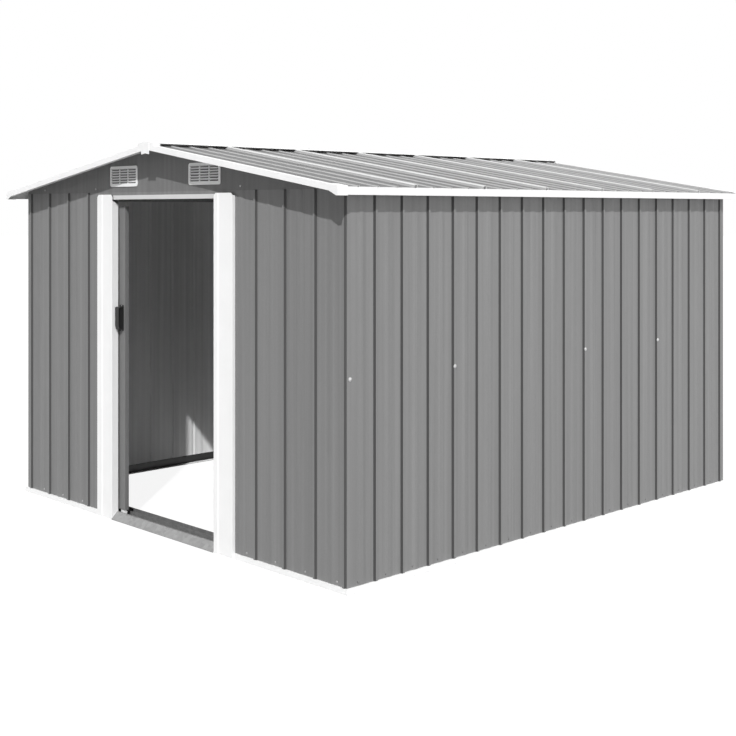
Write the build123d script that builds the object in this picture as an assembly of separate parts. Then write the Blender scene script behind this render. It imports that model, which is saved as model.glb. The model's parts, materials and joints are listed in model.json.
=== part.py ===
from build123d import *
import math
import os

os.makedirs("parts", exist_ok=True)

# All sizes are millimetres. The ground is z = 0, the doorway faces -Y,
# and the origin is the middle of the base on the ground.

# Outline of the roof and the overhang past the walls
roof_width = 2570.0
roof_depth = 2980.0
roof_rise = 220.0
eave_above_wall = 6.0
side_overhang = 50.0
end_overhang = 95.0

# Metal thicknesses
sheet = 1.2
frame_metal = 1.5
trim_metal = 1.5
cap_wall = 2.5

# Ribbed wall sheet
front_pitches = 13
side_pitches = 18
last_rib_inset = 38.0
wall_bottom = 22.0
wall_top = 1570.0
rib_height = 8.0
rib_base = 24.0
rib_crest = 10.0
swage_height = 2.0
swage_base = 44.0

# Base rails and top rails
rail_foot = 22.0
rail_proud = 2.0
rail_upstand = 25.0
top_rail_web = 50.0
top_rail_flange = 40.0
back_rail_flange = 18.0
back_rail_above = 12.0
rail_end_gap = 5.0

# Roof sheet
roof_bays = 7
pleats_per_bay = 3
seam_height = 12.0
seam_base = 24.0
seam_crest = 12.0
pleat_height = 4.0
pleat_base = 16.0
pleat_crest = 6.0
ridge_gap = 10.0
ridge_cap_reach = 60.0

# Roof trims, caps and beams
fascia_depth = 32.0
verge_depth = 22.0
verge_lip = 30.0
trim_hem = 12.0
eave_tuck = 34.0
corner_cap_size = 50.0
peak_plate_half = 30.0
peak_drop = 18.0
peak_block_depth = 40.0
beam_width = 60.0
beam_depth = 50.0
purlin_share = 0.5
purlin_width = 40.0
purlin_depth = 40.0

# Doorway
opening_width = 804.0
jamb_width = 133.0
jamb_proud = 14.0
jamb_return = 34.0
jamb_below_wall_top = 10.0
jamb_lap = 40.0
jamb_groove = 3.0
jamb_inner_band = 27.0
jamb_outer_band = 40.0
jamb_corner = 12.0
return_below_header = 6.0
return_slant = 18.0
lintel_height = 34.0
header_height = 20.0
header_proud = 8.0

# Sill and lower track
sill_metal = 2.0
sill_toe = 4.0
sill_proud = 18.0
sill_slope_end = 14.0
track_height = 34.0
track_floor = 3.0
track_wall = 2.0
track_groove = 42.0

# Door leaf
leaf_width = 820.0
leaf_depth = 20.0
leaf_stile = 45.0
leaf_above_track = 13.0
leaf_below_shelf = 36.0
leaf_showing = 52.0
leaf_ribs = 4
leaf_rib_height = 6.0
door_clearance = 6.0

# Running gear
shelf_above_header = 3.0
track_lip = 10.7
track_web = 29.0
lip_clearance = 0.3
hanger_length = 60.0
hanger_inset = 120.0
hanger_metal = 3.0
hanger_head = 12.0
hanger_nose = 3.5
nose_drop = 4.0
nose_clearance = 2.5
web_clearance = 5.5
guide_length = 40.0
guide_width = 8.0
guide_inset = 5.0
guide_clearance = 5.0

# Handle
handle_width = 32.0
handle_height = 126.0
handle_depth = 30.0
handle_middle = 967.0
handle_gap = 7.0
handle_taper = 46.0
handle_toe = 14.0
handle_round = 5.0

# Louvred vents
vent_width = 232.0
vent_height = 98.0
vent_from_middle = 319.0
vent_above_wall = 76.0
vent_plate = 4.0
vent_corner = 12.0
vent_rows = 6
vent_columns = 3
vent_side_margin = 14.0
vent_top_margin = 9.0
vent_bottom_margin = 16.0
vent_bar = 8.0
slot_height = 5.0
hood_reach = 5.0
hood_metal = 1.2
vent_hole_margin = 8.0

# How far a cutter reaches past the metal it cuts
cut_past = 1.0

# Sizes that follow from the ones above
half_roof_width = roof_width / 2
half_roof_depth = roof_depth / 2
eave_height = wall_top + eave_above_wall
ridge_height = eave_height + roof_rise
half_width = half_roof_width - side_overhang
half_depth = half_roof_depth - end_overhang
front_pitch = (2 * half_width - last_rib_inset) / front_pitches
side_pitch = (2 * half_depth - last_rib_inset) / side_pitches
cap_thickness_up = seam_height + sheet
roof_slope = math.atan2(ridge_height - cap_thickness_up - eave_height, half_roof_width)
roof_apex = eave_height + half_roof_width * math.tan(roof_slope)
slope_length = half_roof_width / math.cos(roof_slope)
header_bottom = wall_top - lintel_height
jamb_top = wall_top - jamb_below_wall_top
half_opening = opening_width / 2
jamb_outer = half_opening + jamb_width
leaf_front = jamb_return - jamb_proud + door_clearance
leaf_back = leaf_front + leaf_depth
leaf_right = -half_opening + leaf_showing
leaf_left = leaf_right - leaf_width
track_shelf = header_bottom + shelf_above_header
leaf_bottom = track_height + leaf_above_track
leaf_top = track_shelf - leaf_below_shelf
vent_middle = wall_top + vent_above_wall
track_front = jamb_return - jamb_proud + track_wall
inner_half_width = half_width - sheet - top_rail_flange - rail_end_gap


def roof_z(x, lift):
    """Height at x of the plane that lies lift above the flat of the roof sheet."""
    return roof_apex - abs(x) * math.tan(roof_slope) + lift / math.cos(roof_slope)


def folded(path, thickness):
    """Closed outline of metal bent along a path, lying left of it, or right if negative."""
    normals = []
    for (u0, v0), (u1, v1) in zip(path, path[1:]):
        length = math.hypot(u1 - u0, v1 - v0)
        normals.append((-(v1 - v0) / length, (u1 - u0) / length))
    far_side = []
    for i, (u, v) in enumerate(path):
        a = normals[max(i - 1, 0)]
        b = normals[min(i, len(normals) - 1)]
        reach = thickness / (1 + a[0] * b[0] + a[1] * b[1])
        far_side.append((u + reach * (a[0] + b[0]), v + reach * (a[1] + b[1])))
    return path + far_side[::-1]


def run_x(outline, x0, x1):
    """A (y, z) outline carried from x0 to x1."""
    plane = Plane(origin=(x0, 0, 0), x_dir=(0, 1, 0), z_dir=(1, 0, 0))
    return extrude(plane * make_face(Polyline(*outline, close=True)), amount=x1 - x0, dir=(1, 0, 0))


def run_y(outline, y0, y1):
    """An (x, z) outline carried from y0 to y1."""
    plane = Plane(origin=(0, y0, 0), x_dir=(1, 0, 0), z_dir=(0, -1, 0))
    return extrude(plane * make_face(Polyline(*outline, close=True)), amount=y1 - y0, dir=(0, 1, 0))


def run_z(outline, z0, z1):
    """An (x, y) outline carried from z0 to z1."""
    return extrude(Pos(0, 0, z0) * make_face(Polyline(*outline, close=True)), amount=z1 - z0, dir=(0, 0, 1))


def block(x0, x1, y0, y1, z0, z1):
    """A box between two corners."""
    return Pos((x0 + x1) / 2, (y0 + y1) / 2, (z0 + z1) / 2) * Box(x1 - x0, y1 - y0, z1 - z0)


def at_front(outline):
    """Turns (outward, z) points of a front section into (y, z)."""
    return [(-half_depth - v, z) for v, z in outline]


def at_right(outline):
    """Turns (outward, z) points of a right side section into (x, z)."""
    return [(half_width + v, z) for v, z in outline]


def to_left(piece):
    return mirror(piece, about=Plane.YZ)


def to_back(piece):
    return mirror(piece, about=Plane.XZ)


def save(piece, node):
    export_step(piece, "parts/" + node + ".step")


# Base rails: a foot on the ground, a white face, a ledge under the sheets and an upstand behind them
rail_out = rib_height + rail_proud
rail_section = folded(
    [
        (-rail_foot, 0),
        (rail_out, 0),
        (rail_out, wall_bottom),
        (-sheet, wall_bottom),
        (-sheet, wall_bottom + rail_upstand),
    ],
    frame_metal,
)
past_corner = 2 * rail_out
front_mitre = Plane(origin=(half_width, -half_depth, 0), z_dir=(1, 1, 0))
back_mitre = Plane(origin=(half_width, half_depth, 0), z_dir=(1, -1, 0))
left_mitre = Plane(origin=(-half_width, -half_depth, 0), z_dir=(-1, 1, 0))

side_rail = run_y(at_right(rail_section), -half_depth - past_corner, half_depth + past_corner)
side_rail = split(side_rail, bisect_by=front_mitre, keep=Keep.TOP)
side_rail = split(side_rail, bisect_by=back_mitre, keep=Keep.TOP)
front_rail = run_x(at_front(rail_section), jamb_outer, half_width + past_corner)
front_rail = split(front_rail, bisect_by=front_mitre, keep=Keep.BOTTOM)
long_rail = run_x(at_front(rail_section), -half_width - past_corner, half_width + past_corner)
long_rail = split(long_rail, bisect_by=front_mitre, keep=Keep.BOTTOM)
long_rail = split(long_rail, bisect_by=left_mitre, keep=Keep.BOTTOM)
save(side_rail, "base_rail_right")
save(to_left(side_rail), "base_rail_left")
save(front_rail, "base_rail_front_right")
save(to_left(front_rail), "base_rail_front_left")
save(to_back(long_rail), "base_rail_back")


def ribbed_outline(start, end, pitch, flat_to=0):
    """Plan outline of a ribbed sheet in (along, outward) points, ribs counted from a corner at 0."""
    path = [(start, 0)]
    steps = int(end / (pitch / 2)) + 1
    for step in range(1, steps + 1):
        middle = step * pitch / 2
        if step % 2 == 0:
            base, crest, height = rib_base / 2, rib_crest / 2, rib_height
        else:
            base, crest, height = swage_base / 2, swage_base / 6, swage_height
        if middle - base > flat_to and middle + base < end - sheet:
            path.append((middle - base, 0))
            path.append((middle - crest, height))
            path.append((middle + crest, height))
            path.append((middle + base, 0))
    path.append((end, 0))
    return folded(path, -sheet)


# Walls: the front is split beside the doorway, and the sides stand between front and back.
# The ribs run on from the right corner past the doorway, so the last one is near the left corner.
wall_edge = jamb_outer - jamb_lap
for node, start, end, flat_to in (
    ("front_wall_right", 0, half_width - wall_edge, 0),
    ("front_wall_left", half_width + wall_edge, 2 * half_width, half_width + jamb_outer),
):
    front_sheet = ribbed_outline(start, end, front_pitch, flat_to)
    save(run_z([(half_width - u, -half_depth - v) for u, v in front_sheet], wall_bottom, wall_top), node)
back_sheet = ribbed_outline(0, 2 * half_width, front_pitch)
back_wall = run_z([(half_width - u, half_depth + v) for u, v in back_sheet], wall_bottom, wall_top)
side_sheet = ribbed_outline(sheet, 2 * half_depth - sheet, side_pitch)
side_top = roof_z(half_width + rib_height, -sheet)
side_wall = run_z([(half_width + v, u - half_depth) for u, v in side_sheet], wall_bottom, side_top)
save(back_wall, "back_wall")
save(side_wall, "right_wall")
save(to_left(side_wall), "left_wall")

# Gables: smooth sheets with a hole behind each vent
gable_outline = [
    (-half_width, wall_top),
    (half_width, wall_top),
    (half_width, roof_z(half_width, -sheet)),
    (0, roof_z(0, -sheet)),
    (-half_width, roof_z(half_width, -sheet)),
]
gable = run_y(gable_outline, -half_depth, -half_depth + sheet)
hole_half_width = vent_width / 2 - vent_hole_margin
hole_half_height = vent_height / 2 - vent_hole_margin
for side in (-1, 1):
    middle = side * vent_from_middle
    gable -= block(
        middle - hole_half_width,
        middle + hole_half_width,
        -half_depth - sheet,
        -half_depth + 2 * sheet,
        vent_middle - hole_half_height,
        vent_middle + hole_half_height,
    )
save(gable, "front_gable")
save(to_back(gable), "back_gable")

# Rails inside the tops of the walls
side_run = half_depth - sheet
rail_face = half_width - sheet
top_rail_section = folded(
    [
        (rail_face, roof_z(rail_face, -sheet) - top_rail_web),
        (rail_face, roof_z(rail_face, -sheet)),
        (rail_face - top_rail_flange, roof_z(rail_face - top_rail_flange, -sheet)),
    ],
    frame_metal,
)
top_rail = run_y(top_rail_section, -side_run, side_run)
save(top_rail, "top_rail_right")
save(to_left(top_rail), "top_rail_left")

back_rail_top = wall_top + back_rail_above
back_top_section = folded(
    [
        (-sheet, back_rail_top - top_rail_web),
        (-sheet, back_rail_top),
        (-sheet - back_rail_flange, back_rail_top),
    ],
    frame_metal,
)
save(to_back(run_x(at_front(back_top_section), -inner_half_width, inner_half_width)), "top_rail_back")


# Roof: each slope is drawn flat, with x down the slope, then tilted into place
def on_slope(piece):
    return Pos(0, 0, roof_apex) * Rot(0, math.degrees(roof_slope), 0) * piece


sheet_half = half_roof_depth - trim_metal
bay = 2 * sheet_half / roof_bays
marks_per_bay = pleats_per_bay + 1
roof_path = [(-sheet_half, 0)]
for mark in range(1, roof_bays * marks_per_bay):
    middle = -sheet_half + mark * bay / marks_per_bay
    if mark % marks_per_bay == 0:
        base, crest, height = seam_base / 2, seam_crest / 2, seam_height
    else:
        base, crest, height = pleat_base / 2, pleat_crest / 2, pleat_height
    roof_path.append((middle - base, 0))
    roof_path.append((middle - crest, height))
    roof_path.append((middle + crest, height))
    roof_path.append((middle + base, 0))
roof_path.append((sheet_half, 0))
roof_sheet = on_slope(run_x(folded(roof_path, -sheet), ridge_gap, slope_length))
save(roof_sheet, "roof_right")
save(to_left(roof_sheet), "roof_left")

# Ridge cap on the seams
ridge_cap_section = folded(
    [
        (-ridge_cap_reach, roof_z(ridge_cap_reach, seam_height)),
        (0, roof_z(0, seam_height)),
        (ridge_cap_reach, roof_z(ridge_cap_reach, seam_height)),
    ],
    sheet,
)
save(run_y(ridge_cap_section, -half_roof_depth, half_roof_depth), "ridge_cap")

# Beams under the sheets, from gable to gable
ridge_beam_section = folded(
    [
        (-beam_width / 2, roof_apex - beam_depth),
        (-beam_width / 2, roof_z(beam_width / 2, -sheet)),
        (0, roof_z(0, -sheet)),
        (beam_width / 2, roof_z(beam_width / 2, -sheet)),
        (beam_width / 2, roof_apex - beam_depth),
    ],
    -frame_metal,
)
save(run_y(ridge_beam_section, -side_run, side_run), "ridge_beam")
purlin_in = half_width * purlin_share - purlin_width / 2
purlin_out = half_width * purlin_share + purlin_width / 2
purlin_section = folded(
    [
        (purlin_in, roof_z(purlin_in, -sheet) - purlin_depth),
        (purlin_in, roof_z(purlin_in, -sheet)),
        (purlin_out, roof_z(purlin_out, -sheet)),
        (purlin_out, roof_z(purlin_out, -sheet) - purlin_depth),
    ],
    -frame_metal,
)
purlin = run_y(purlin_section, -side_run, side_run)
save(purlin, "roof_beam_right")
save(to_left(purlin), "roof_beam_left")

# Verge trims hook over the sloping edges, and eave trims hang under the low edges
verge_section = folded(
    [
        (-half_roof_depth + verge_lip, 0),
        (-sheet_half, 0),
        (-sheet_half, -verge_depth),
        (-half_roof_depth + trim_hem, -verge_depth),
    ],
    -trim_metal,
)
verge = on_slope(run_x(verge_section, ridge_gap, slope_length - trim_metal))
save(verge, "verge_trim_front_right")
save(to_left(verge), "verge_trim_front_left")
save(to_back(verge), "verge_trim_back_right")
save(to_back(to_left(verge)), "verge_trim_back_left")

fascia_bottom = eave_height - fascia_depth
eave_section = folded(
    [
        (half_roof_width - eave_tuck, roof_z(half_roof_width - eave_tuck, -sheet)),
        (half_roof_width, roof_z(half_roof_width, -sheet)),
        (half_roof_width, fascia_bottom),
        (half_roof_width - trim_hem, fascia_bottom),
    ],
    -trim_metal,
)
eave_run = half_roof_depth - trim_hem
eave = run_y(eave_section, -eave_run, eave_run)
save(eave, "eave_trim_right")
save(to_left(eave), "eave_trim_left")

# Corner caps close the ends of the trims
cap_inner = half_roof_width - corner_cap_size
cap_path = [
    (cap_inner, roof_z(cap_inner, trim_metal)),
    (half_roof_width, roof_z(half_roof_width, trim_metal)),
    (half_roof_width, fascia_bottom - cap_wall),
]
cap_section = folded(cap_path, cap_wall)
cap_face = cap_section[len(cap_path):] + [(cap_inner, fascia_bottom - cap_wall)]
corner_cap = run_y(cap_section, -half_roof_depth, -half_roof_depth + corner_cap_size)
corner_cap += run_y(cap_face, -half_roof_depth - cap_wall, -half_roof_depth)
corner_caps = corner_cap + to_left(corner_cap)
save(corner_caps, "corner_caps_front")
save(to_back(corner_caps), "corner_caps_back")


def chevron(half, low, high):
    """A band that follows both slopes, from low to high above the sheet."""
    return [
        (-half, roof_z(half, low)),
        (0, roof_z(0, low)),
        (half, roof_z(half, low)),
        (half, roof_z(half, high)),
        (0, roof_z(0, high)),
        (-half, roof_z(half, high)),
    ]


# Peak caps close the end of the ridge cap over the meeting verge trims
peak_cap = run_y(
    chevron(ridge_cap_reach, trim_metal, seam_height),
    -half_roof_depth,
    -half_roof_depth + peak_block_depth,
)
peak_cap += run_y(
    chevron(peak_plate_half, -verge_depth - peak_drop, seam_height + sheet),
    -half_roof_depth - cap_wall,
    -half_roof_depth,
)
save(peak_cap, "peak_cap_front")
save(to_back(peak_cap), "peak_cap_back")

# Jambs: a broad face with a shallow groove, an outer lip and a return into the opening
jamb_path = [
    (jamb_outer, 0),
    (jamb_outer, jamb_proud),
    (jamb_outer - jamb_outer_band, jamb_proud),
    (jamb_outer - jamb_outer_band - jamb_groove, jamb_proud - jamb_groove),
    (half_opening + jamb_inner_band + jamb_groove, jamb_proud - jamb_groove),
    (half_opening + jamb_inner_band, jamb_proud),
    (half_opening, jamb_proud),
    (half_opening, jamb_proud - jamb_return),
]
jamb_outline = [(x, -half_depth - v) for x, v in folded(jamb_path, trim_metal)]
jamb = run_z(jamb_outline, 0, jamb_top)
face_back = jamb_proud - trim_metal
return_back = jamb_proud - jamb_return
return_top_front = header_bottom - return_below_header
return_top_back = return_top_front - return_slant
jamb -= run_x(
    at_front(
        [
            (face_back, return_top_front),
            (return_back - trim_metal, return_top_back),
            (return_back - trim_metal, jamb_top + jamb_corner),
            (face_back, jamb_top + jamb_corner),
        ]
    ),
    half_opening - trim_metal,
    half_opening + 2 * trim_metal,
)
for corner_x, inward in ((half_opening, 1), (jamb_outer, -1)):
    jamb -= run_y(
        [
            (corner_x - inward * cut_past, jamb_top - jamb_corner - cut_past),
            (corner_x + inward * (jamb_corner + cut_past), jamb_top + cut_past),
            (corner_x - inward * cut_past, jamb_top + cut_past),
        ],
        -half_depth - 2 * jamb_proud,
        -half_depth + trim_metal,
    )
save(jamb, "jamb_right")
save(to_left(jamb), "jamb_left")

# Over the doorway: a strip of sheet, and a header rail between the jambs
save(
    block(-wall_edge, wall_edge, -half_depth, -half_depth + sheet, header_bottom, wall_top),
    "lintel_panel",
)
header_section = folded(
    [
        (0, header_bottom + header_height),
        (header_proud, header_bottom + header_height),
        (header_proud, header_bottom),
        (0, header_bottom),
    ],
    -trim_metal,
)
save(run_x(at_front(header_section), -half_opening, half_opening), "header_rail")

# Upper track: a web on the wall, a shelf and an upturned lip that carries the hangers
lip_front = leaf_back - hanger_metal - web_clearance - frame_metal
track_path = [
    (-sheet, track_shelf + track_web),
    (-sheet, track_shelf),
    (-lip_front - frame_metal, track_shelf),
    (-lip_front - frame_metal, track_shelf + track_lip),
]
upper_track = run_x(at_front(folded(track_path, -frame_metal)), -inner_half_width, inner_half_width)
save(upper_track, "door_track_upper")

# Lower track: a floor with three upstands that leave two long grooves
track_outline = [(-track_front, 0)]
for upstand in range(3):
    start = track_front + upstand * (track_wall + track_groove)
    if upstand > 0:
        track_outline.append((-start, track_floor))
    track_outline.append((-start, track_height))
    track_outline.append((-start - track_wall, track_height))
    if upstand < 2:
        track_outline.append((-start - track_wall, track_floor))
track_back = track_front + 3 * track_wall + 2 * track_groove
track_outline.append((-track_back, 0))
track_end = half_width - rail_foot
save(run_x(at_front(track_outline), -track_end, track_end), "door_track_lower")

# Sill: a ramp between the jambs, up to the front of the lower track
sill_path = [
    (sill_proud, 0),
    (sill_proud, sill_toe),
    (-sill_slope_end, track_height),
    (-track_front, track_height),
]
save(run_x(at_front(folded(sill_path, sill_metal)), -half_opening, half_opening), "sill_ramp")

# Door leaf: a folded frame with a ribbed sheet behind its face
front_y = -half_depth + leaf_front
back_y = -half_depth + leaf_back
rim = frame_metal
door_frame = block(leaf_left, leaf_right, front_y, back_y, leaf_bottom, leaf_top)
door_frame -= block(
    leaf_left + rim,
    leaf_right - rim,
    front_y + rim,
    back_y + rim,
    leaf_bottom + rim,
    leaf_top - rim,
)
door_frame -= block(
    leaf_left + leaf_stile,
    leaf_right - leaf_stile,
    front_y - rim,
    back_y,
    leaf_bottom + leaf_stile,
    leaf_top - leaf_stile,
)
save(door_frame, "door_frame")

panel_start = leaf_left + rim
panel_end = leaf_right - rim
leaf_pitch = (panel_end - panel_start) / (leaf_ribs + 1)
panel_y = front_y + rim
panel_path = [(panel_start, panel_y)]
for rib in range(1, leaf_ribs + 1):
    middle = panel_start + rib * leaf_pitch
    panel_path.append((middle - rib_base / 2, panel_y))
    panel_path.append((middle - rib_crest / 2, panel_y + leaf_rib_height))
    panel_path.append((middle + rib_crest / 2, panel_y + leaf_rib_height))
    panel_path.append((middle + rib_base / 2, panel_y))
panel_path.append((panel_end, panel_y))
save(run_z(folded(panel_path, sheet), leaf_bottom + rim, leaf_top - rim), "door_panel")

# Hangers: a foot on the leaf, a web behind the lip and a head that sits over it
lip_top = track_shelf + track_lip
head_low = lip_top + lip_clearance
nose_back = lip_front - nose_clearance
hanger_outline = [
    (-leaf_front, leaf_top),
    (-leaf_back, leaf_top),
    (-leaf_back, head_low + hanger_head),
    (-nose_back + hanger_nose, head_low + hanger_head),
    (-nose_back + hanger_nose, head_low - nose_drop),
    (-nose_back, head_low - nose_drop),
    (-nose_back, head_low),
    (-leaf_back + hanger_metal, head_low),
    (-leaf_back + hanger_metal, leaf_top + hanger_metal),
    (-leaf_front, leaf_top + hanger_metal),
]
hangers = Part()
for hanger_x in (leaf_left + hanger_inset, leaf_right - hanger_inset):
    hangers += run_x(at_front(hanger_outline), hanger_x - hanger_length / 2, hanger_x + hanger_length / 2)
save(hangers, "door_hangers")

# Guides: shoes under the leaf that run in the front groove
guide_y = -half_depth + (leaf_front + leaf_back) / 2
guide_low = track_floor + guide_clearance
guides = Part()
for guide_x in (leaf_left + guide_inset, leaf_right - guide_inset - guide_length):
    guides += block(
        guide_x,
        guide_x + guide_length,
        guide_y - guide_width / 2,
        guide_y + guide_width / 2,
        guide_low,
        leaf_bottom,
    )
save(guides, "door_guides")

# Handle: a black grip on the leading stile, rounded above and tapered below
handle_left = -half_opening + handle_gap
handle_top = handle_middle + handle_height / 2
handle_low = handle_middle - handle_height / 2
handle_section = [
    (-leaf_front, handle_low),
    (-leaf_front + handle_toe, handle_low),
    (-leaf_front + handle_depth, handle_low + handle_taper),
    (-leaf_front + handle_depth, handle_top - handle_toe),
    (-leaf_front + handle_depth - handle_toe, handle_top),
    (-leaf_front, handle_top),
]
handle = run_x(at_front(handle_section), handle_left, handle_left + handle_width)
outer_edges = handle.edges().filter_by(lambda e: e.center().Y < front_y - handle_round)
handle = fillet(outer_edges, handle_round)
save(handle, "door_handle")


def louvred_vent():
    """A rounded plate with rows of slots, each under a small sloping hood."""
    vent = extrude(RectangleRounded(vent_width, vent_height, vent_corner), amount=vent_plate)
    rows_height = vent_height - vent_top_margin - vent_bottom_margin
    row_pitch = rows_height / vent_rows
    slots_width = vent_width - 2 * vent_side_margin - (vent_columns - 1) * vent_bar
    slot_width = slots_width / vent_columns
    for column in range(vent_columns):
        left = -vent_width / 2 + vent_side_margin + column * (slot_width + vent_bar)
        for row in range(vent_rows):
            low = -vent_height / 2 + vent_bottom_margin + row * row_pitch
            vent -= block(left, left + slot_width, low, low + slot_height, -cut_past, vent_plate + cut_past)
            hood_top = low + slot_height + hood_reach / 2
            hood_path = [(hood_top, vent_plate - hood_metal), (low, vent_plate + hood_reach)]
            hood = folded(hood_path, hood_metal)
            vent += run_x(hood, left, left + slot_width)
    return vent


# Vents in the gables
vent = louvred_vent()
seat = Plane(origin=(vent_from_middle, -half_depth, vent_middle), x_dir=(1, 0, 0), z_dir=(0, -1, 0))
vents = seat * vent + to_left(seat * vent)
save(vents, "vents_front")
save(to_back(vents), "vents_back")
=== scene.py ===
import json
import math

import bmesh
import bpy
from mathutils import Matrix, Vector


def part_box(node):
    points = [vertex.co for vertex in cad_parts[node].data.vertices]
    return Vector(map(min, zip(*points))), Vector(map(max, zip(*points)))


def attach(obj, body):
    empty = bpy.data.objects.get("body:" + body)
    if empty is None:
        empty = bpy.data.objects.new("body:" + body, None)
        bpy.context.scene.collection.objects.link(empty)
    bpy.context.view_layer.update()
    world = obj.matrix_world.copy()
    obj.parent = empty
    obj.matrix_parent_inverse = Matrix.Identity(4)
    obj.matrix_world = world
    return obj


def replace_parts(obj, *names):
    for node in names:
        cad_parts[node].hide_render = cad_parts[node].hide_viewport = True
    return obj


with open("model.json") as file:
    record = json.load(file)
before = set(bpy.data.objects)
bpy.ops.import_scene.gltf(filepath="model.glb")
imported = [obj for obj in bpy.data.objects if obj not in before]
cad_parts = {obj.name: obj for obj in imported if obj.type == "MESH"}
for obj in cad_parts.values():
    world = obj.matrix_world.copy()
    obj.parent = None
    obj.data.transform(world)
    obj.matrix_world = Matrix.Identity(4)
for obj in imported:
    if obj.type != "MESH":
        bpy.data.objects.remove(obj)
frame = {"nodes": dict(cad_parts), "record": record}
nodes = frame["nodes"]
scene = bpy.context.scene
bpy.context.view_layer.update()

# Places read from the frame, in metres
WALL_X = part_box("front_gable")[1].x
WALL_Y = -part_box("front_gable")[0].y
WALL_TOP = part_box("front_wall_right")[1].z
WALL_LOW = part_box("front_wall_right")[0].z
SIDE_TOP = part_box("right_wall")[1].z
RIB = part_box("right_wall")[1].x - WALL_X
ROOF_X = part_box("roof_right")[1].x
ROOF_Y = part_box("roof_right")[1].y
RIDGE_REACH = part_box("ridge_cap")[1].x
JAMB_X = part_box("jamb_right")[1].x
GABLE_TOLERANCE = 0.0005
gable_points = [v.co for v in nodes["front_gable"].data.vertices]
GABLE_TOP = max(p.z for p in gable_points)
GABLE_SIDE = max(p.z for p in gable_points if p.x > WALL_X - GABLE_TOLERANCE)

# Sizes repeated from the part, in metres, and the slope that follows from them
SHEET = 0.0012
SIDE_PITCHES = 18
FRONT_PITCHES = 13
LAST_RIB = 0.038
RIB_BASE = 0.012
RIB_CREST = 0.005
ROOF_BAYS = 7
SEAM_BASE = 0.012
SEAM_CREST = 0.006
SEAM_HEIGHT = 0.012
SLOPE = math.atan2(GABLE_TOP - GABLE_SIDE, WALL_X)
APEX = GABLE_TOP + SHEET / math.cos(SLOPE)

# Seam covers, sheet laps, screws and bolts
SKIN = 0.0007
SKIN_GAP = 0.0002
LAP_LEAD = 0.002
LAP_TAIL = 0.026
LAP_LOW_GAP = 0.0005
LAP_SIDE_GAP = 0.002
LAP_END_GAP = 0.001
SIDE_LAPS = (4, 10, 14)
FRONT_LAPS = (2, 11)
BACK_LAPS = (3, 6, 10)
BOLT_HEIGHT = 0.83
CORNER_BOLT = 0.016
CORNER_RIB = 0.0145
COVER_DROP = 0.004
COVER_START_GAP = 0.002
COVER_END_GAP = 0.004
SCREW_OFFSET = 0.058
BASE_SCREW = 0.015
TOP_SCREW = 0.02
JAMB_CLEAR = 0.01
GABLE_SCREWS = (0.57, 1.06)
GABLE_SCREW_UP = 0.018

# Vent grilles. The widths and rows are those of the part's vents.
VENT_WIDTH = 0.232
VENT_DEPTH = 0.098
VENT_X = 0.319
VENT_THICK = 0.004
VENT_CORNER = 0.012
VENT_ROWS = 6
VENT_COLUMNS = 3
VENT_SIDE = 0.014
VENT_ABOVE = 0.009
VENT_BELOW = 0.016
VENT_BAR = 0.008
VENT_SLOT = 0.0075
VENT_HOLE = 0.008
VENT_BACK_GAP = 0.0003
SLAT_SKIN = 0.0009
SLAT_PATH = [(0.0005, 0.0005), (VENT_THICK + 0.0015, -0.0015), (VENT_THICK + 0.0035, -0.0040)]
GAUZE_GAP = 0.001
GAUZE_FACES = (0.0002, -0.0006)

# Corner covers
CAP_SIZE = 0.0525
CAP_WALL = 0.0025
CAP_HEM = 0.009
CAP_ROUND = 0.0009
TRIM = 0.0015
VERGE_DEPTH = 0.022

# Handle
GRIP_PLATE = 0.0025
GRIP_PLATE_REACH = 0.009
GRIP_PLATE_CORNER = 0.006
GRIP_PLATE_ROUND = 0.0006
GRIP_IN = 0.001
GRIP_TOE = 0.005
GRIP_TAPER = 0.03
GRIP_ROUND = 0.0022
GRIP_RIM = 0.003
GRIP_HOLLOW = 0.008
GRIP_DRAFT = 0.0015
GRIP_TOLERANCE = 0.0001

# Camera. The focal length and the horizon are in pixels of the photo.
CAMERA_PLACE = (4.7454, -4.6767, 1.4851)
CAMERA_YAW = 0.8023
CAMERA_FOCAL = 1243.7
CAMERA_HORIZON = 210.2
IMAGE = 736
SENSOR = 36.0
CAMERA_REACH = 300

# Light. Angles are in degrees, and the azimuth turns from the front to the right.
SUN_AZIMUTH = 42.0
SUN_HEIGHT = 42.0
SUN_POWER = 3.15
SUN_SOFTNESS = 0.9
SKY_HIGH = 0.8
SKY_LOW = 0.12
SIDE_POWER = 150.0
SIDE_SIZE = (6.0, 3.0)
SIDE_PLACE = (8.0, 2.5, 1.8)
SIDE_AIM_HEIGHT = 0.9

# Level of the sheets' pale back, and the painted shade on the rails' faces turned indoors
BACKING = 0.9
RAIL_INSIDE_SHADE = 0.06

# Floor: its size, its drop under the part, and its levels to other rays and to the camera
FLOOR_HALF = 60
FLOOR_DROP = 0.0005
FLOOR_LEVEL = 0.68
FLOOR_ROUGHNESS = 0.9
FLOOR_GLOW = 0.9
FLOOR_SHADOW = 0.14


def colour(value):
    """A grey as it shows on screen, from 0 to 1, as a linear colour."""
    linear = value / 12.92 if value <= 0.04045 else ((value + 0.055) / 1.055) ** 2.4
    return (linear, linear, linear, 1.0)


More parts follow.
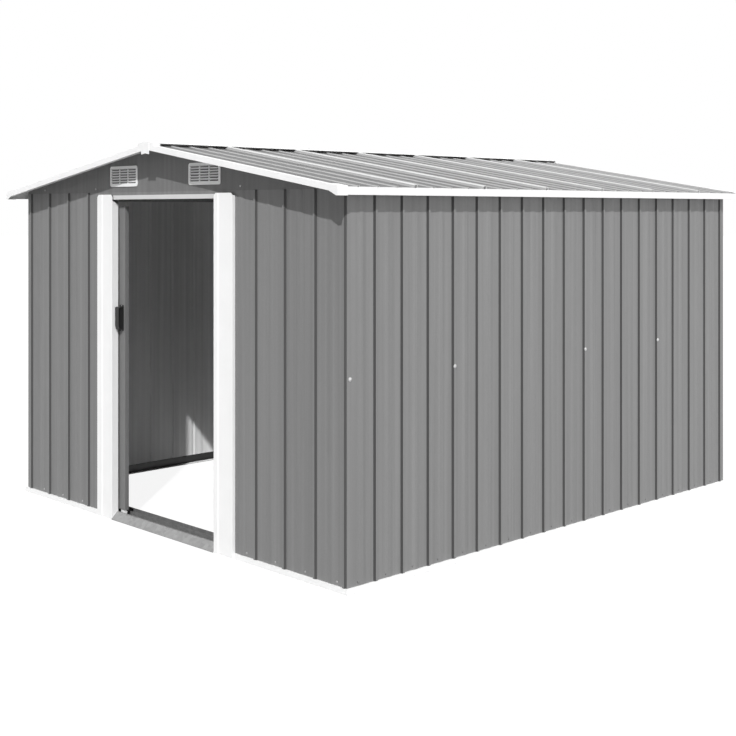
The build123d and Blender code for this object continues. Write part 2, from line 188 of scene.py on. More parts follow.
class Nodes:
    """A short way to write a node material."""

    def __init__(self, name):
        self.material = bpy.data.materials.new(name)
        self.material.use_nodes = True
        self.tree = self.material.node_tree
        self.tree.nodes.clear()
        self.output = self.add("ShaderNodeOutputMaterial")
        self.shader = self.add("ShaderNodeBsdfPrincipled")
        self.link(self.shader, "BSDF", self.output, "Surface")

    def add(self, kind, **inputs):
        node = self.tree.nodes.new(kind)
        for key, value in inputs.items():
            if key in node.inputs:
                node.inputs[key].default_value = value
            else:
                setattr(node, key, value)
        return node

    def link(self, source, output, target, slot):
        self.tree.links.new(source.outputs[output], target.inputs[slot])

    def feed(self, value, target, slot):
        """Sets an input to a number or colour, or links it to a (node, output) pair."""
        if isinstance(value, tuple) and len(value) == 2:
            self.link(*value, target, slot)
        else:
            target.inputs[slot].default_value = value

    def coordinates(self, scale):
        mapping = self.add("ShaderNodeMapping", Scale=scale)
        self.link(self.add("ShaderNodeTexCoord"), "Object", mapping, "Vector")
        return mapping

    def noise(self, scale, size, detail=3.0, roughness=0.5):
        texture = self.add("ShaderNodeTexNoise", Scale=size, Detail=detail, Roughness=roughness)
        self.link(self.coordinates(scale), "Vector", texture, "Vector")
        return texture

    def ramp(self, source, output, stops):
        """Greys between two (position, level) stops."""
        ramp = self.add("ShaderNodeValToRGB")
        self.link(source, output, ramp, "Fac")
        for element, (position, value) in zip(ramp.color_ramp.elements, stops):
            element.position = position
            element.color = (value, value, value, 1.0)
        return ramp

    def mix(self, factor, first, second, blend="MIX"):
        """Mixes colours. Each of the three is a number or colour, or a (node, output) pair."""
        mix = self.add("ShaderNodeMix")
        mix.data_type = "RGBA"
        mix.blend_type = blend
        for slot, value in ((0, factor), (6, first), (7, second)):
            self.feed(value, mix, slot)
        return mix

    def maths(self, operation, first, second=0.0):
        node = self.add("ShaderNodeMath")
        node.operation = operation
        for slot, value in ((0, first), (1, second)):
            self.feed(value, node, slot)
        return node

    def inward(self, out, limit):
        """1 where a face looks back towards the middle of the building, along the axes marked in out."""
        facing = self.add("ShaderNodeVectorMath", operation="DOT_PRODUCT")
        self.link(self.add("ShaderNodeTexCoord"), "Normal", facing, 0)
        self.link(self.coordinates(out), "Vector", facing, 1)
        return self.maths("LESS_THAN", (facing, "Value"), limit)

    def bump(self, texture, strength, distance, under=None):
        """A bump from a texture's Fac, over another node's normal if under is given."""
        bump = self.add("ShaderNodeBump", Strength=strength, Distance=distance)
        self.link(texture, "Fac", bump, "Height")
        if under:
            self.link(under, "Normal", bump, "Normal")
        return bump

    def set(self, **values):
        for key, value in values.items():
            self.shader.inputs[key.replace("_", " ")].default_value = value


def painted_sheet(name, level, painted_fold_level, out):
    """Painted rolled sheet: long faint streaks, shallow waves, a pale back, and painted shade on the folds
    (painted highlight where the fold level is paler than level).

    out has a 1 for each axis that the sheet's face looks along, away from the middle of the building.
    """
    m = Nodes(name)
    streaks = m.noise((44, 44, 0.5), 1.0, 4.0)
    streak_ramp = m.ramp(streaks, "Fac", [(0.3, 0.9), (0.72, 1.08)])
    base = m.mix(1.0, colour(level), (streak_ramp, "Color"), "MULTIPLY")
    specks = m.noise((1, 1, 1), 260.0, 2.0)
    speck_ramp = m.ramp(specks, "Fac", [(0.35, 0.96), (0.7, 1.03)])
    base = m.mix(1.0, (base, 2), (speck_ramp, "Color"), "MULTIPLY")
    parts = m.add("ShaderNodeSeparateXYZ")
    m.link(m.add("ShaderNodeTexCoord"), "Normal", parts, "Vector")
    turned = m.maths("ABSOLUTE", (parts, "Y"))
    if not out[2]:
        turned = m.maths("MINIMUM", (m.maths("ABSOLUTE", (parts, "X")), 0), (turned, 0))
    # Rib and pleat flanks take the fold level: painted shade on the walls' ribs, painted highlight on the
    # roof's pleats.
    painted_fold_mask = m.ramp(turned, 0, [(0.25, 0.0), (0.55, 1.0)])
    base = m.mix((painted_fold_mask, "Color"), (base, 2), colour(painted_fold_level))
    bands = m.noise((7, 7, 0.35), 1.0, 3.0)
    band_ramp = m.ramp(bands, "Fac", [(0.34, 0.84), (0.62, 1.06)])
    backing = m.mix(1.0, colour(BACKING), (streak_ramp, "Color"), "MULTIPLY")
    backing = m.mix(1.0, (backing, 2), (band_ramp, "Color"), "MULTIPLY")
    base = m.mix((m.inward(out, 0.0), 0), (base, 2), (backing, 2))
    m.link(base, 2, m.shader, "Base Color")
    m.set(Specular_IOR_Level=0.25)
    rough = m.noise((3, 3, 1), 6.0, 5.0, 0.6)
    rough_ramp = m.ramp(rough, "Fac", [(0.3, 0.42), (0.75, 0.58)])
    m.link(rough_ramp, "Color", m.shader, "Roughness")
    waves = m.noise((5, 5, 1.2), 1.0, 2.0)
    peel = m.noise((1, 1, 1), 900.0, 2.0)
    bump = m.bump(peel, 0.08, 0.0004, m.bump(waves, 0.25, 0.006))
    m.link(bump, "Normal", m.shader, "Normal")
    return m.material


def painted_trim(name, level, inner=None):
    """Painted folded trim with faint uneven paint and soft edges.

    inner is the level of the faces turned indoors, where they differ: a painted shade.
    """
    m = Nodes(name)
    patches = m.noise((2.5, 2.5, 2.5), 3.0, 5.0, 0.6)
    ramp = m.ramp(patches, "Fac", [(0.32, 0.965), (0.68, 1.0)])
    base = m.mix(1.0, colour(level), (ramp, "Color"), "MULTIPLY")
    if inner is not None:
        # Faces turned indoors take the inner level, painted shade along the inside of the base.
        base = m.mix((m.inward((1, 1, 0), -0.3), 0), (base, 2), colour(inner))
    m.link(base, 2, m.shader, "Base Color")
    rough = m.noise((1, 1, 1), 30.0, 4.0)
    rough_ramp = m.ramp(rough, "Fac", [(0.3, 0.34), (0.7, 0.5)])
    m.link(rough_ramp, "Color", m.shader, "Roughness")
    bevel = m.add("ShaderNodeBevel", Radius=0.0015, samples=4)
    bump = m.bump(m.noise((1, 1, 1), 700.0, 2.0), 0.06, 0.0004, bevel)
    m.link(bump, "Normal", m.shader, "Normal")
    return m.material


def moulded_plastic(name, level, rough_low, rough_high):
    """Moulded plastic with a fine even grain."""
    m = Nodes(name)
    cloud = m.noise((1, 1, 1), 12.0, 4.0)
    ramp = m.ramp(cloud, "Fac", [(0.3, 0.95), (0.7, 1.02)])
    base = m.mix(1.0, colour(level), (ramp, "Color"), "MULTIPLY")
    m.link(base, 2, m.shader, "Base Color")
    grain = m.noise((1, 1, 1), 1400.0, 2.0)
    rough_ramp = m.ramp(grain, "Fac", [(0.3, rough_low), (0.7, rough_high)])
    m.link(rough_ramp, "Color", m.shader, "Roughness")
    bevel = m.add("ShaderNodeBevel", Radius=0.001, samples=4)
    bump = m.bump(grain, 0.2, 0.0003, bevel)
    m.link(bump, "Normal", m.shader, "Normal")
    return m.material


def zinc(name, level, metallic=0.6):
    """Galvanised steel with spangle."""
    m = Nodes(name)
    cells = m.add("ShaderNodeTexVoronoi", Scale=70.0)
    m.link(m.coordinates((1, 1, 1)), "Vector", cells, "Vector")
    shade = m.add("ShaderNodeSeparateColor")
    m.link(cells, "Color", shade, "Color")
    ramp = m.ramp(shade, "Red", [(0.0, 0.84), (1.0, 1.08)])
    base = m.mix(1.0, colour(level), (ramp, "Color"), "MULTIPLY")
    m.link(base, 2, m.shader, "Base Color")
    rough_ramp = m.ramp(shade, "Green", [(0.0, 0.34), (1.0, 0.5)])
    m.link(rough_ramp, "Color", m.shader, "Roughness")
    m.set(Metallic=metallic)
    bump = m.bump(m.noise((1, 1, 1), 500.0, 2.0), 0.1, 0.0003)
    m.link(bump, "Normal", m.shader, "Normal")
    return m.material


# The third number is the painted light on each sheet's folds: painted shade on the walls and the door leaf,
# painted highlight on the roof.
side_paint = painted_sheet("side_paint", 0.495, 0.25, (1, 0, 0))
end_paint = painted_sheet("end_paint", 0.495, 0.28, (0, 1, 0))
# The gable sheet is darker than the walls' for its own tone and, beyond that, as painted shade under the
# verge.
gable_paint_and_shade = painted_sheet("gable_paint_and_shade", 0.45, 0.45, (0, 1, 0))
leaf_paint = painted_sheet("leaf_paint", 0.45, 0.32, (0, 1, 0))
roof_paint = painted_sheet("roof_paint", 0.4, 0.66, (0, 0, 1))
trim_paint = painted_trim("trim_paint", 0.955)
rail_paint = painted_trim("rail_paint", 0.955, RAIL_INSIDE_SHADE)
washer_paint = painted_trim("washer_paint", 0.78)
# The eave trims are the white trim made darker, a painted shade against the strong light on the eave
# fascias.
eave_trim_shaded = painted_trim("eave_trim_shaded", 0.92)
header_paint = painted_trim("header_paint", 0.82)
white_plastic = moulded_plastic("white_plastic", 0.95, 0.42, 0.55)
black_plastic = moulded_plastic("black_plastic", 0.11, 0.45, 0.6)
zinc_steel = zinc("zinc_steel", 0.66)
dark_steel = zinc("dark_steel", 0.53, 0.3)
sill_steel = zinc("sill_steel", 0.6, 0.25)
cover_paint = painted_trim("cover_paint", 0.86)
slat_plastic = moulded_plastic("slat_plastic", 0.8, 0.42, 0.55)
gauze_dark = moulded_plastic("gauze_dark", 0.1, 0.6, 0.8)

by_slot = {
    "wall_sheet": end_paint,
    "roof_sheet": roof_paint,
    "white_trim": trim_paint,
    "white_plastic": white_plastic,
    "black_plastic": black_plastic,
    "galvanised": zinc_steel,
    "dark_metal": dark_steel,
}
by_node = {
    "front_gable": gable_paint_and_shade,
    "back_gable": gable_paint_and_shade,
    "left_wall": side_paint,
    "right_wall": side_paint,
    "door_panel": leaf_paint,
    "door_frame": leaf_paint,
    "base_rail_left": rail_paint,
    "base_rail_right": rail_paint,
    "base_rail_back": rail_paint,
    "base_rail_front_left": rail_paint,
    "base_rail_front_right": rail_paint,
    "header_rail": header_paint,
    "eave_trim_left": eave_trim_shaded,
    "eave_trim_right": eave_trim_shaded,
    "sill_ramp": sill_steel,
}
for part in frame["record"]["subparts"]:
    name = part["node"]
    finish = by_node.get(name, by_slot[part["material_slot"]])
    for slot in nodes[name].material_slots:
        slot.material = finish


def stand(name, data):
    """A new object in the scene."""
    made = bpy.data.objects.new(name, data)
    scene.collection.objects.link(made)
    return made


def seen_directly(tree):
    """1 for rays from the camera, and for mirrored and refracted ones."""
    rays = tree.nodes.new("ShaderNodeLightPath")
    value = rays.outputs["Is Camera Ray"]
    for ray in ("Is Glossy Ray", "Is Transmission Ray"):
        larger = tree.nodes.new("ShaderNodeMath")
        larger.operation = "MAXIMUM"
        tree.links.new(value, larger.inputs[0])
        tree.links.new(rays.outputs[ray], larger.inputs[1])
        value = larger.outputs[0]
    return value


def folded(path, low, high):
    """The two lines, low and high above a bent path, that a skin runs between."""
    sides = []
    for lift in (low, high):
        line = []
        for i, (u, v) in enumerate(path):
            normals = []
            for (u0, v0), (u1, v1) in zip(path[max(i - 1, 0):i + 1], path[max(i, 1):i + 2]):
                length = math.hypot(u1 - u0, v1 - v0)
                normals.append((-(v1 - v0) / length, (u1 - u0) / length))
            a, b = normals[0], normals[-1]
            reach = lift / (1 + a[0] * b[0] + a[1] * b[1])
            line.append((u + reach * (a[0] + b[0]), v + reach * (a[1] + b[1])))
        sides.append(line)
    return sides


def closed(solid, near, far):
    """Adds a closed prism between two rings of points to a bmesh, and gives its near face."""
    near = [solid.verts.new(point) for point in near]
    far = [solid.verts.new(point) for point in far]
    front = solid.faces.new(near)
    solid.faces.new(far[::-1])
    for i in range(len(near)):
        j = (i + 1) % len(near)
        solid.faces.new((near[j], near[i], far[i], far[j]))
    return front


class Piece:
    """Gathers faces, then makes one object that rides on a body."""

    def __init__(self, name, finish, slot, body="shed"):
        self.name = name
        self.finish = finish
        self.slot = slot
        self.body = body
        self.points = []
        self.faces = []

    def add(self, points, faces):
        start = len(self.points)
        self.points += [Vector(point) for point in points]
        self.faces += [[start + i for i in face] for face in faces]

    def strip(self, path, low, high, place):
        """A skin over a bent path, carried through the stations that place gives."""
        under, over = folded(path, low, high)
        ring = under + over[::-1]
        size = len(ring)
        stations = place(ring)
        points = [point for station in stations for point in station]
        faces = []
        for station in range(len(stations) - 1):
            for i in range(size):
                j = (i + 1) % size
                faces.append([station * size + i, station * size + j,
                              (station + 1) * size + j, (station + 1) * size + i])
        last = (len(stations) - 1) * size
        for i in range(len(path) - 1):
            faces.append([i, i + 1, size - 2 - i, size - 1 - i])
            faces.append([last + i, last + i + 1, last + size - 2 - i, last + size - 1 - i])
        self.add(points, faces)

    def lathe(self, place, outward, profile, sides=16):
        """A turned shape: (radius, height) points spun about outward through place."""
        turn = Vector(outward).normalized().to_track_quat("Z", "Y")
        points = []
        faces = []
        for radius, rise in profile:
            for i in range(sides):
                angle = 2 * math.pi * i / sides
                spoke = Vector((radius * math.cos(angle), radius * math.sin(angle), rise))
                points.append(Vector(place) + turn @ spoke)
        for ring in range(len(profile) - 1):
            for i in range(sides):
                j = (i + 1) % sides
                faces.append([ring * sides + i, ring * sides + j,
                              (ring + 1) * sides + j, (ring + 1) * sides + i])
        top = (len(profile) - 1) * sides
        faces.append([top + i for i in range(sides)])
        faces.append(list(range(sides))[::-1])
        self.add(points, faces)

    def prism(self, outline, place, depth, bevel):
        """A plate: an outline in (u, v) carried back from w = 0 to depth, its near edges rounded."""
        solid = bmesh.new()
        front = closed(solid, [(u, v, 0.0) for u, v in outline], [(u, v, depth) for u, v in outline])
        bmesh.ops.bevel(
            solid,
            geom=list(front.edges),
            offset=bevel,
            segments=2,
            profile=0.5,
            affect="EDGES",
            clamp_overlap=True,
        )
        self.take(solid, place)

    def take(self, solid, place):
        """Adds a bmesh, with each point where place puts it."""
        solid.verts.index_update()
        self.add([place(*v.co) for v in solid.verts], [[v.index for v in f.verts] for f in solid.faces])
        solid.free()

    def make(self, smooth=False):
        """Makes the object, with its faces turned outwards. smooth rounds all but the sharp edges."""
        mesh = bpy.data.meshes.new(self.name)
        mesh.from_pydata([tuple(point) for point in self.points], [], self.faces)
        solid = bmesh.new()
        solid.from_mesh(mesh)
        bmesh.ops.recalc_face_normals(solid, faces=solid.faces)
        solid.to_mesh(mesh)
        solid.free()
        mesh.materials.append(self.finish)
        if smooth:
            for face in mesh.polygons:
                face.use_smooth = True
            mesh.set_sharp_from_angle(angle=math.radians(40))
        made = stand(self.name, mesh)
        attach(made, self.body)
        return made


# Seam covers on the roof
SEAM_SPAN = 2 * ROOF_Y / ROOF_BAYS
slope_turn = (math.cos(SLOPE), math.sin(SLOPE))


def on_slope(down, along, lift, side):
    """A point on a roof slope: down it, along the ridge and lift above the sheet."""
    x = down * slope_turn[0] + lift * slope_turn[1]
    z = APEX - down * slope_turn[1] + lift * slope_turn[0]
    return (side * x, along, z)


lean = (SEAM_BASE - SEAM_CREST) / SEAM_HEIGHT
cover_path = [
    (SEAM_CREST + COVER_DROP * lean, SEAM_HEIGHT - COVER_DROP),
    (SEAM_CREST, SEAM_HEIGHT),
    (-SEAM_CREST, SEAM_HEIGHT),
    (-SEAM_CREST - COVER_DROP * lean, SEAM_HEIGHT - COVER_DROP),
]
cover_ends = (RIDGE_REACH / slope_turn[0] + COVER_START_GAP, ROOF_X / slope_turn[0] - COVER_END_GAP)
covers = Piece("roof_seam_covers", cover_paint, "white_trim")
for side in (-1, 1):
    for seam in range(1, ROOF_BAYS):
        middle = -ROOF_Y + seam * SEAM_SPAN
        covers.strip(
            cover_path,
            -SKIN_GAP,
            -SKIN_GAP - SKIN,
            lambda ring: [[on_slope(down, middle + u, v, side) for u, v in ring] for down in cover_ends],
        )
covers.make()

# Sheet laps on the walls
side_pitch = (2 * WALL_Y - LAST_RIB) / SIDE_PITCHES
front_pitch = (2 * WALL_X - LAST_RIB) / FRONT_PITCHES


def lap_path(middle):
    """An upper sheet's edge over the rib at middle."""
    return [
        (middle - RIB_BASE - LAP_LEAD, 0.0),
        (middle - RIB_BASE, 0.0),
        (middle - RIB_CREST, RIB),
        (middle + RIB_CREST, RIB),
        (middle + RIB_BASE, 0.0),
        (middle + LAP_TAIL, 0.0),
    ]


def make_laps(name, finish, middles, top, place):
    """The upper sheets' skins over the ribs at middles. place turns (along, out, z) into a point."""
    laps = Piece(name, finish, "wall_sheet")
    for middle in middles:
        laps.strip(
            lap_path(middle),
            SKIN_GAP,
            SKIN_GAP + SKIN,
            lambda ring: [[place(u, v, z) for u, v in ring] for z in (WALL_LOW + LAP_LOW_GAP, top)],
        )
    laps.make()


for name, side in (("left", -1), ("right", 1)):
    make_laps(
        "side_laps_" + name,
        side_paint,
        [rib * side_pitch for rib in SIDE_LAPS],
        SIDE_TOP - LAP_SIDE_GAP,
        lambda u, v, z: (side * (WALL_X + v), u - WALL_Y, z),
    )
for name, face, ribs in (("front", -1, FRONT_LAPS), ("back", 1, BACK_LAPS)):
    make_laps(
        name + "_laps",
        end_paint,
        [CORNER_RIB, *(rib * front_pitch for rib in ribs)],
        WALL_TOP - LAP_END_GAP,
        lambda u, v, z: (WALL_X - u, face * (WALL_Y + v), z),
    )

# Screws and bolts: (radius, height) points, turned about the way out of the sheet
BOLT = [(0.0085, 0.0), (0.0085, 0.0008), (0.0079, 0.0013), (0.0050, 0.0015), (0.0050, 0.0030),
        (0.0044, 0.0039), (0.0030, 0.0045), (0.0012, 0.0047)]
SCREW = [(0.0048, 0.0), (0.0048, 0.0006), (0.0044, 0.0014), (0.0034, 0.0021), (0.0018, 0.0025),
         (0.0006, 0.0026)]
GRIP_SCREW = [(0.0032, 0.0), (0.0032, 0.0004), (0.0026, 0.0012), (0.0012, 0.0016), (0.0004, 0.0017)]

bolts = Piece("side_bolts", washer_paint, "galvanised")
side_screws = Piece("side_screws", side_paint, "wall_sheet")
on_crest = WALL_X + RIB + SKIN_GAP + SKIN
for side in (-1, 1):
    bolts.lathe((side * WALL_X, CORNER_BOLT - WALL_Y, BOLT_HEIGHT), (side, 0, 0), BOLT)
    for rib in SIDE_LAPS:
        bolts.lathe((side * on_crest, rib * side_pitch - WALL_Y, BOLT_HEIGHT), (side, 0, 0), BOLT)
    for rib in range(SIDE_PITCHES):
        y = rib * side_pitch + SCREW_OFFSET - WALL_Y
        side_screws.lathe((side * WALL_X, y, WALL_LOW + BASE_SCREW), (side, 0, 0), SCREW)
        side_screws.lathe((side * WALL_X, y, SIDE_TOP - TOP_SCREW), (side, 0, 0), SCREW)
bolts.make(smooth=True)
side_screws.make(smooth=True)

front_screws = Piece("front_screws", zinc_steel, "galvanised")
for rib in range(FRONT_PITCHES):
    x = WALL_X - rib * front_pitch - SCREW_OFFSET
    if abs(x) > JAMB_X + JAMB_CLEAR:
        front_screws.lathe((x, -WALL_Y, WALL_LOW + BASE_SCREW), (0, -1, 0), SCREW)
front_screws.make(smooth=True)

back_screws = Piece("back_screws", end_paint, "wall_sheet")
for rib in range(FRONT_PITCHES):
    x = WALL_X - rib * front_pitch - SCREW_OFFSET
    back_screws.lathe((x, WALL_Y, WALL_LOW + BASE_SCREW), (0, 1, 0), SCREW)
    back_screws.lathe((x, WALL_Y, WALL_TOP - TOP_SCREW), (0, 1, 0), SCREW)
back_screws.make(smooth=True)

for name, face in (("front", -1), ("back", 1)):
    gable_screws = Piece("gable_screws_" + name, zinc_steel, "galvanised")
    for x in GABLE_SCREWS:
        for side in (-1, 1):
            gable_screws.lathe((side * x, face * WALL_Y, WALL_TOP + GABLE_SCREW_UP), (0, face, 0), SCREW)
    gable_screws.make(smooth=True)

# Corner covers: a hood over the corner of the roof, and a face that narrows up to the verge
cap_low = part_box("corner_caps_front")[0].z
cap_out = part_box("corner_caps_front")[1].x - CAP_WALL
cap_in = cap_out + CAP_WALL - CAP_SIZE
cap_face = -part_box("corner_caps_front")[0].y - CAP_WALL


def slope_z(x, lift):
    """Height at x of the plane that lies lift above the roof sheet."""
    return APEX - x * math.tan(SLOPE) + lift / math.cos(SLOPE)


cap_path = [(cap_in, slope_z(cap_in, TRIM)), (cap_out, slope_z(cap_out, TRIM)), (cap_out, cap_low)]
cap_edge = folded(cap_path, 0.0, CAP_WALL)[1]
cap_outline = cap_edge + [(cap_out - CAP_HEM, cap_low), (cap_in, slope_z(cap_in, -VERGE_DEPTH - TRIM))]
cap_ends = (cap_face, cap_face - CAP_SIZE + CAP_WALL)
for name, face in (("front", -1), ("back", 1)):
    caps = Piece("corner_covers_" + name, white_plastic, "white_plastic")
    for side in (-1, 1):
        caps.strip(
            cap_path,
            0.0,
            CAP_WALL,
            lambda ring: [[(side * u, face * y, v) for u, v in ring] for y in cap_ends],
        )
        caps.prism(
            cap_outline,
            lambda u, v, w: (side * u, face * (cap_face + CAP_WALL - w), v),
            CAP_WALL,
            CAP_ROUND,
        )
    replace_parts(caps.make(), "corner_caps_" + name)


# Vent grilles: a rounded plate with open slots, slats behind them and a dark gauze in the gable hole
def rounded(width, depth, radius, steps=6):
    """Points of a rounded rectangle, anticlockwise."""
    points = []
    for cx, cz, start in (
        (width / 2 - radius, depth / 2 - radius, 0),
        (-width / 2 + radius, depth / 2 - radius, 90),
        (-width / 2 + radius, -depth / 2 + radius, 180),
        (width / 2 - radius, -depth / 2 + radius, 270),
    ):
        for step in range(steps + 1):
            angle = math.radians(start + 90 * step / steps)
            points.append((cx + radius * math.cos(angle), cz + radius * math.sin(angle)))
    return points


def grille_cells():
    """The slots' (left, right, low, high), from the middle of the plate."""
    inner = VENT_WIDTH - 2 * VENT_SIDE - (VENT_COLUMNS - 1) * VENT_BAR
    wide = inner / VENT_COLUMNS
    pitch = (VENT_DEPTH - VENT_ABOVE - VENT_BELOW) / VENT_ROWS
    for column in range(VENT_COLUMNS):
        left = -VENT_WIDTH / 2 + VENT_SIDE + column * (wide + VENT_BAR)
        for row in range(VENT_ROWS):
            low = -VENT_DEPTH / 2 + VENT_BELOW + row * pitch
            yield (left, left + wide, low, low + VENT_SLOT)


def vent_plate(piece, middle_x, middle_z, face):
    """A plate with a rounded outline and open slots, VENT_THICK out from the gable."""
    solid = bmesh.new()
    holes = list(grille_cells())
    rings = [rounded(VENT_WIDTH, VENT_DEPTH, VENT_CORNER)]
    rings += [[(left, low), (right, low), (right, high), (left, high)] for left, right, low, high in holes]
    edges = []
    for ring in rings:
        corners = [solid.verts.new((x, VENT_THICK, z)) for x, z in ring]
        edges += [solid.edges.new((corners[i - 1], corners[i])) for i in range(len(corners))]
    filled = bmesh.ops.triangle_fill(solid, use_beauty=True, edges=edges, normal=(0, 1, 0))
    keep = []
    for part in [item for item in filled["geom"] if isinstance(item, bmesh.types.BMFace)]:
        centre = part.calc_center_median()
        if any(l < centre.x < r and low < centre.z < high for l, r, low, high in holes):
            solid.faces.remove(part)
        else:
            keep.append(part)
    grown = bmesh.ops.extrude_face_region(solid, geom=keep)
    for item in grown["geom"]:
        if isinstance(item, bmesh.types.BMVert):
            item.co.y = VENT_BACK_GAP
    piece.take(solid, lambda x, y, z: (middle_x + x, face * (WALL_Y + y), middle_z + z))


VENT_Z = (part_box("vents_front")[0].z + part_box("vents_front")[1].z) / 2
for name, face in (("front", -1), ("back", 1)):
    plate = Piece("vent_grilles_" + name, white_plastic, "white_plastic")
    slats = Piece("vent_slats_" + name, slat_plastic, "white_plastic")
    gauze = Piece("vent_gauze_" + name, gauze_dark, "black_plastic")
    for side in (-1, 1):
        middle_x = side * VENT_X
        vent_plate(plate, middle_x, VENT_Z, face)
        for left, right, low, high in grille_cells():
            slats.strip(
                [(out, high + up) for out, up in SLAT_PATH],
                0.0,
                SLAT_SKIN,
                lambda ring: [
                    [(middle_x + x, face * (WALL_Y + u), VENT_Z + v) for u, v in ring] for x in (left, right)
                ],
            )
        half_x = VENT_WIDTH / 2 - VENT_HOLE - GAUZE_GAP
        half_z = VENT_DEPTH / 2 - VENT_HOLE - GAUZE_GAP
        rows = []
        for y in GAUZE_FACES:
            rows.append([(middle_x + sx * half_x, face * (WALL_Y + y), VENT_Z + sz * half_z)
                         for sx, sz in ((-1, -1), (1, -1), (1, 1), (-1, 1))])
        gauze.add(
            rows[0] + rows[1],
            [[0, 1, 2, 3], [4, 5, 6, 7], [0, 1, 5, 4], [1, 2, 6, 5], [2, 3, 7, 6], [3, 0, 4, 7]],
        )
    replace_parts(plate.make(), "vents_" + name)
    slats.make()
    gauze.make()

# Handle: a grip with rounded edges and a hollow on its open side, on a thin screwed plate
grip_low, grip_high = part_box("door_handle")
grip = Piece("handle_grip", black_plastic, "black_plastic", "door")
grip_outline = [
    (grip_high.y, grip_low.z + GRIP_PLATE_REACH),
    (grip_low.y + GRIP_TOE, grip_low.z + GRIP_PLATE_REACH),
    (grip_low.y, grip_low.z + GRIP_TAPER),
    (grip_low.y, grip_high.z - GRIP_PLATE_REACH - GRIP_TOE),
    (grip_low.y + GRIP_TOE, grip_high.z - GRIP_PLATE_REACH),
    (grip_high.y, grip_high.z - GRIP_PLATE_REACH),
]
solid = bmesh.new()
closed(
    solid,
    [(grip_low.x + GRIP_IN, y, z) for y, z in grip_outline],
    [(grip_high.x - GRIP_IN, y, z) for y, z in grip_outline],
)
bmesh.ops.recalc_face_normals(solid, faces=solid.faces)
bmesh.ops.bevel(
    solid,
    geom=[e for e in solid.edges if min(v.co.y for v in e.verts) < grip_high.y - GRIP_TOLERANCE],
    offset=GRIP_ROUND,
    segments=3,
    profile=0.5,
    affect="EDGES",
)
open_side = max(solid.faces, key=lambda f: f.calc_area() if f.normal.x > 0.99 else 0.0)
bmesh.ops.inset_region(solid, faces=[open_side], thickness=GRIP_RIM)
bmesh.ops.inset_region(solid, faces=[open_side], thickness=GRIP_DRAFT, depth=-GRIP_HOLLOW)
grip.take(solid, lambda x, y, z: (x, y, z))
plate_middle = ((grip_low.x + grip_high.x) / 2, (grip_low.z + grip_high.z) / 2)
grip.prism(
    rounded(grip_high.x - grip_low.x, grip_high.z - grip_low.z, GRIP_PLATE_CORNER),
    lambda u, v, w: (plate_middle[0] + u, grip_high.y - GRIP_PLATE + w, plate_middle[1] + v),
    GRIP_PLATE,
    GRIP_PLATE_ROUND,
)
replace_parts(grip.make(), "door_handle")
grip_screws = Piece("handle_screws", dark_steel, "dark_metal", "door")
for z in (grip_low.z + GRIP_PLATE_REACH / 2, grip_high.z - GRIP_PLATE_REACH / 2):
    grip_screws.lathe((plate_middle[0], grip_high.y - GRIP_PLATE, z), (0, -1, 0), GRIP_SCREW)
grip_screws.make(smooth=True)

# Floor and background, white to rays that seen_directly names and plain pale to the others
floor_paint = Nodes("floor_paint")
floor_paint.set(Base_Color=colour(FLOOR_LEVEL), Roughness=FLOOR_ROUGHNESS)
seen = floor_paint.add("ShaderNodeAddShader")
glow = floor_paint.add("ShaderNodeEmission", Color=(1, 1, 1, 1), Strength=FLOOR_GLOW)
soft = floor_paint.add("ShaderNodeBsdfDiffuse", Color=(FLOOR_SHADOW, FLOOR_SHADOW, FLOOR_SHADOW, 1))
choose = floor_paint.add("ShaderNodeMixShader")
floor_paint.link(glow, "Emission", seen, 0)
floor_paint.link(soft, "BSDF", seen, 1)
floor_paint.tree.links.new(seen_directly(floor_paint.tree), choose.inputs["Fac"])
floor_paint.link(floor_paint.shader, "BSDF", choose, 1)
floor_paint.link(seen, "Shader", choose, 2)
floor_paint.link(choose, "Shader", floor_paint.output, "Surface")
floor_mesh = bpy.data.meshes.new("floor")
floor_corners = [(u * FLOOR_HALF, v * FLOOR_HALF, 0) for u, v in ((-1, -1), (1, -1), (1, 1), (-1, 1))]
floor_mesh.from_pydata(floor_corners, [], [(0, 1, 2, 3)])
floor_mesh.materials.append(floor_paint.material)
floor = stand("floor", floor_mesh)
floor.location.z = -FLOOR_DROP

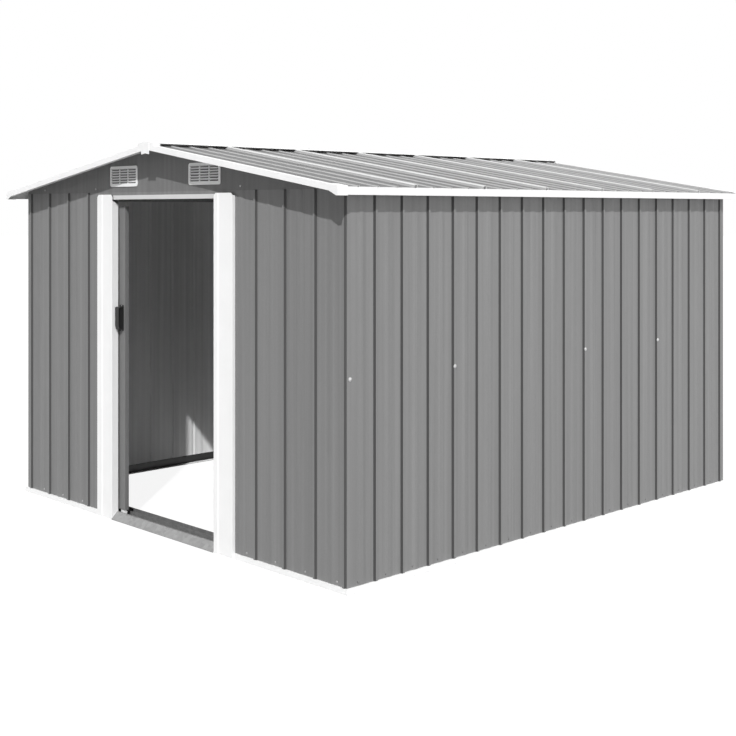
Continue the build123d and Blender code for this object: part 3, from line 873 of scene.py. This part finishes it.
world = bpy.data.worlds.new("studio")
scene.world = world
world.use_nodes = True
sky = world.node_tree
sky.nodes.clear()
sky_out = sky.nodes.new("ShaderNodeOutputWorld")
sky_mix = sky.nodes.new("ShaderNodeMixShader")
sky_light = sky.nodes.new("ShaderNodeBackground")
sky_light.inputs["Strength"].default_value = 1.0
sky_place = sky.nodes.new("ShaderNodeTexCoord")
sky_parts = sky.nodes.new("ShaderNodeSeparateXYZ")
sky_ramp = sky.nodes.new("ShaderNodeValToRGB")
sky_ramp.color_ramp.elements[0].color = (SKY_LOW, SKY_LOW, SKY_LOW, 1)
sky_ramp.color_ramp.elements[1].color = (SKY_HIGH, SKY_HIGH, SKY_HIGH, 1)
sky.links.new(sky_place.outputs["Generated"], sky_parts.inputs[0])
sky.links.new(sky_parts.outputs["Z"], sky_ramp.inputs["Fac"])
sky.links.new(sky_ramp.outputs["Color"], sky_light.inputs["Color"])
sky_seen = sky.nodes.new("ShaderNodeBackground")
sky_seen.inputs["Strength"].default_value = 1.0
sky_seen.inputs["Color"].default_value = (1, 1, 1, 1)
sky.links.new(seen_directly(sky), sky_mix.inputs[0])
sky.links.new(sky_light.outputs[0], sky_mix.inputs[1])
sky.links.new(sky_seen.outputs[0], sky_mix.inputs[2])
sky.links.new(sky_mix.outputs[0], sky_out.inputs[0])

sun_data = bpy.data.lights.new("sun", "SUN")
sun_data.energy = SUN_POWER
sun_data.angle = math.radians(SUN_SOFTNESS)
sun = stand("sun", sun_data)
azimuth = math.radians(SUN_AZIMUTH)
height = math.radians(SUN_HEIGHT)
to_sun = Vector(
    (math.sin(azimuth) * math.cos(height), -math.cos(azimuth) * math.cos(height), math.sin(height))
)
sun.rotation_euler = to_sun.to_track_quat("Z", "Y").to_euler()

side_data = bpy.data.lights.new("side_light", "AREA")
side_data.shape = "RECTANGLE"
side_data.size, side_data.size_y = SIDE_SIZE
side_data.energy = SIDE_POWER
side_lamp = stand("side_light", side_data)
side_lamp.location = SIDE_PLACE
from_wall = Vector(SIDE_PLACE) - Vector((WALL_X, 0, SIDE_AIM_HEIGHT))
side_lamp.rotation_euler = from_wall.to_track_quat("Z", "Y").to_euler()

camera_data = bpy.data.cameras.new("camera")
camera_data.sensor_width = SENSOR
camera_data.lens = CAMERA_FOCAL / IMAGE * SENSOR
camera_data.shift_y = -(IMAGE / 2 - CAMERA_HORIZON) / IMAGE
camera_data.clip_end = CAMERA_REACH
camera = stand("camera", camera_data)
camera.location = CAMERA_PLACE
camera.rotation_euler = (math.radians(90), 0, CAMERA_YAW)
scene.camera = camera
scene.view_settings.view_transform = "Standard"
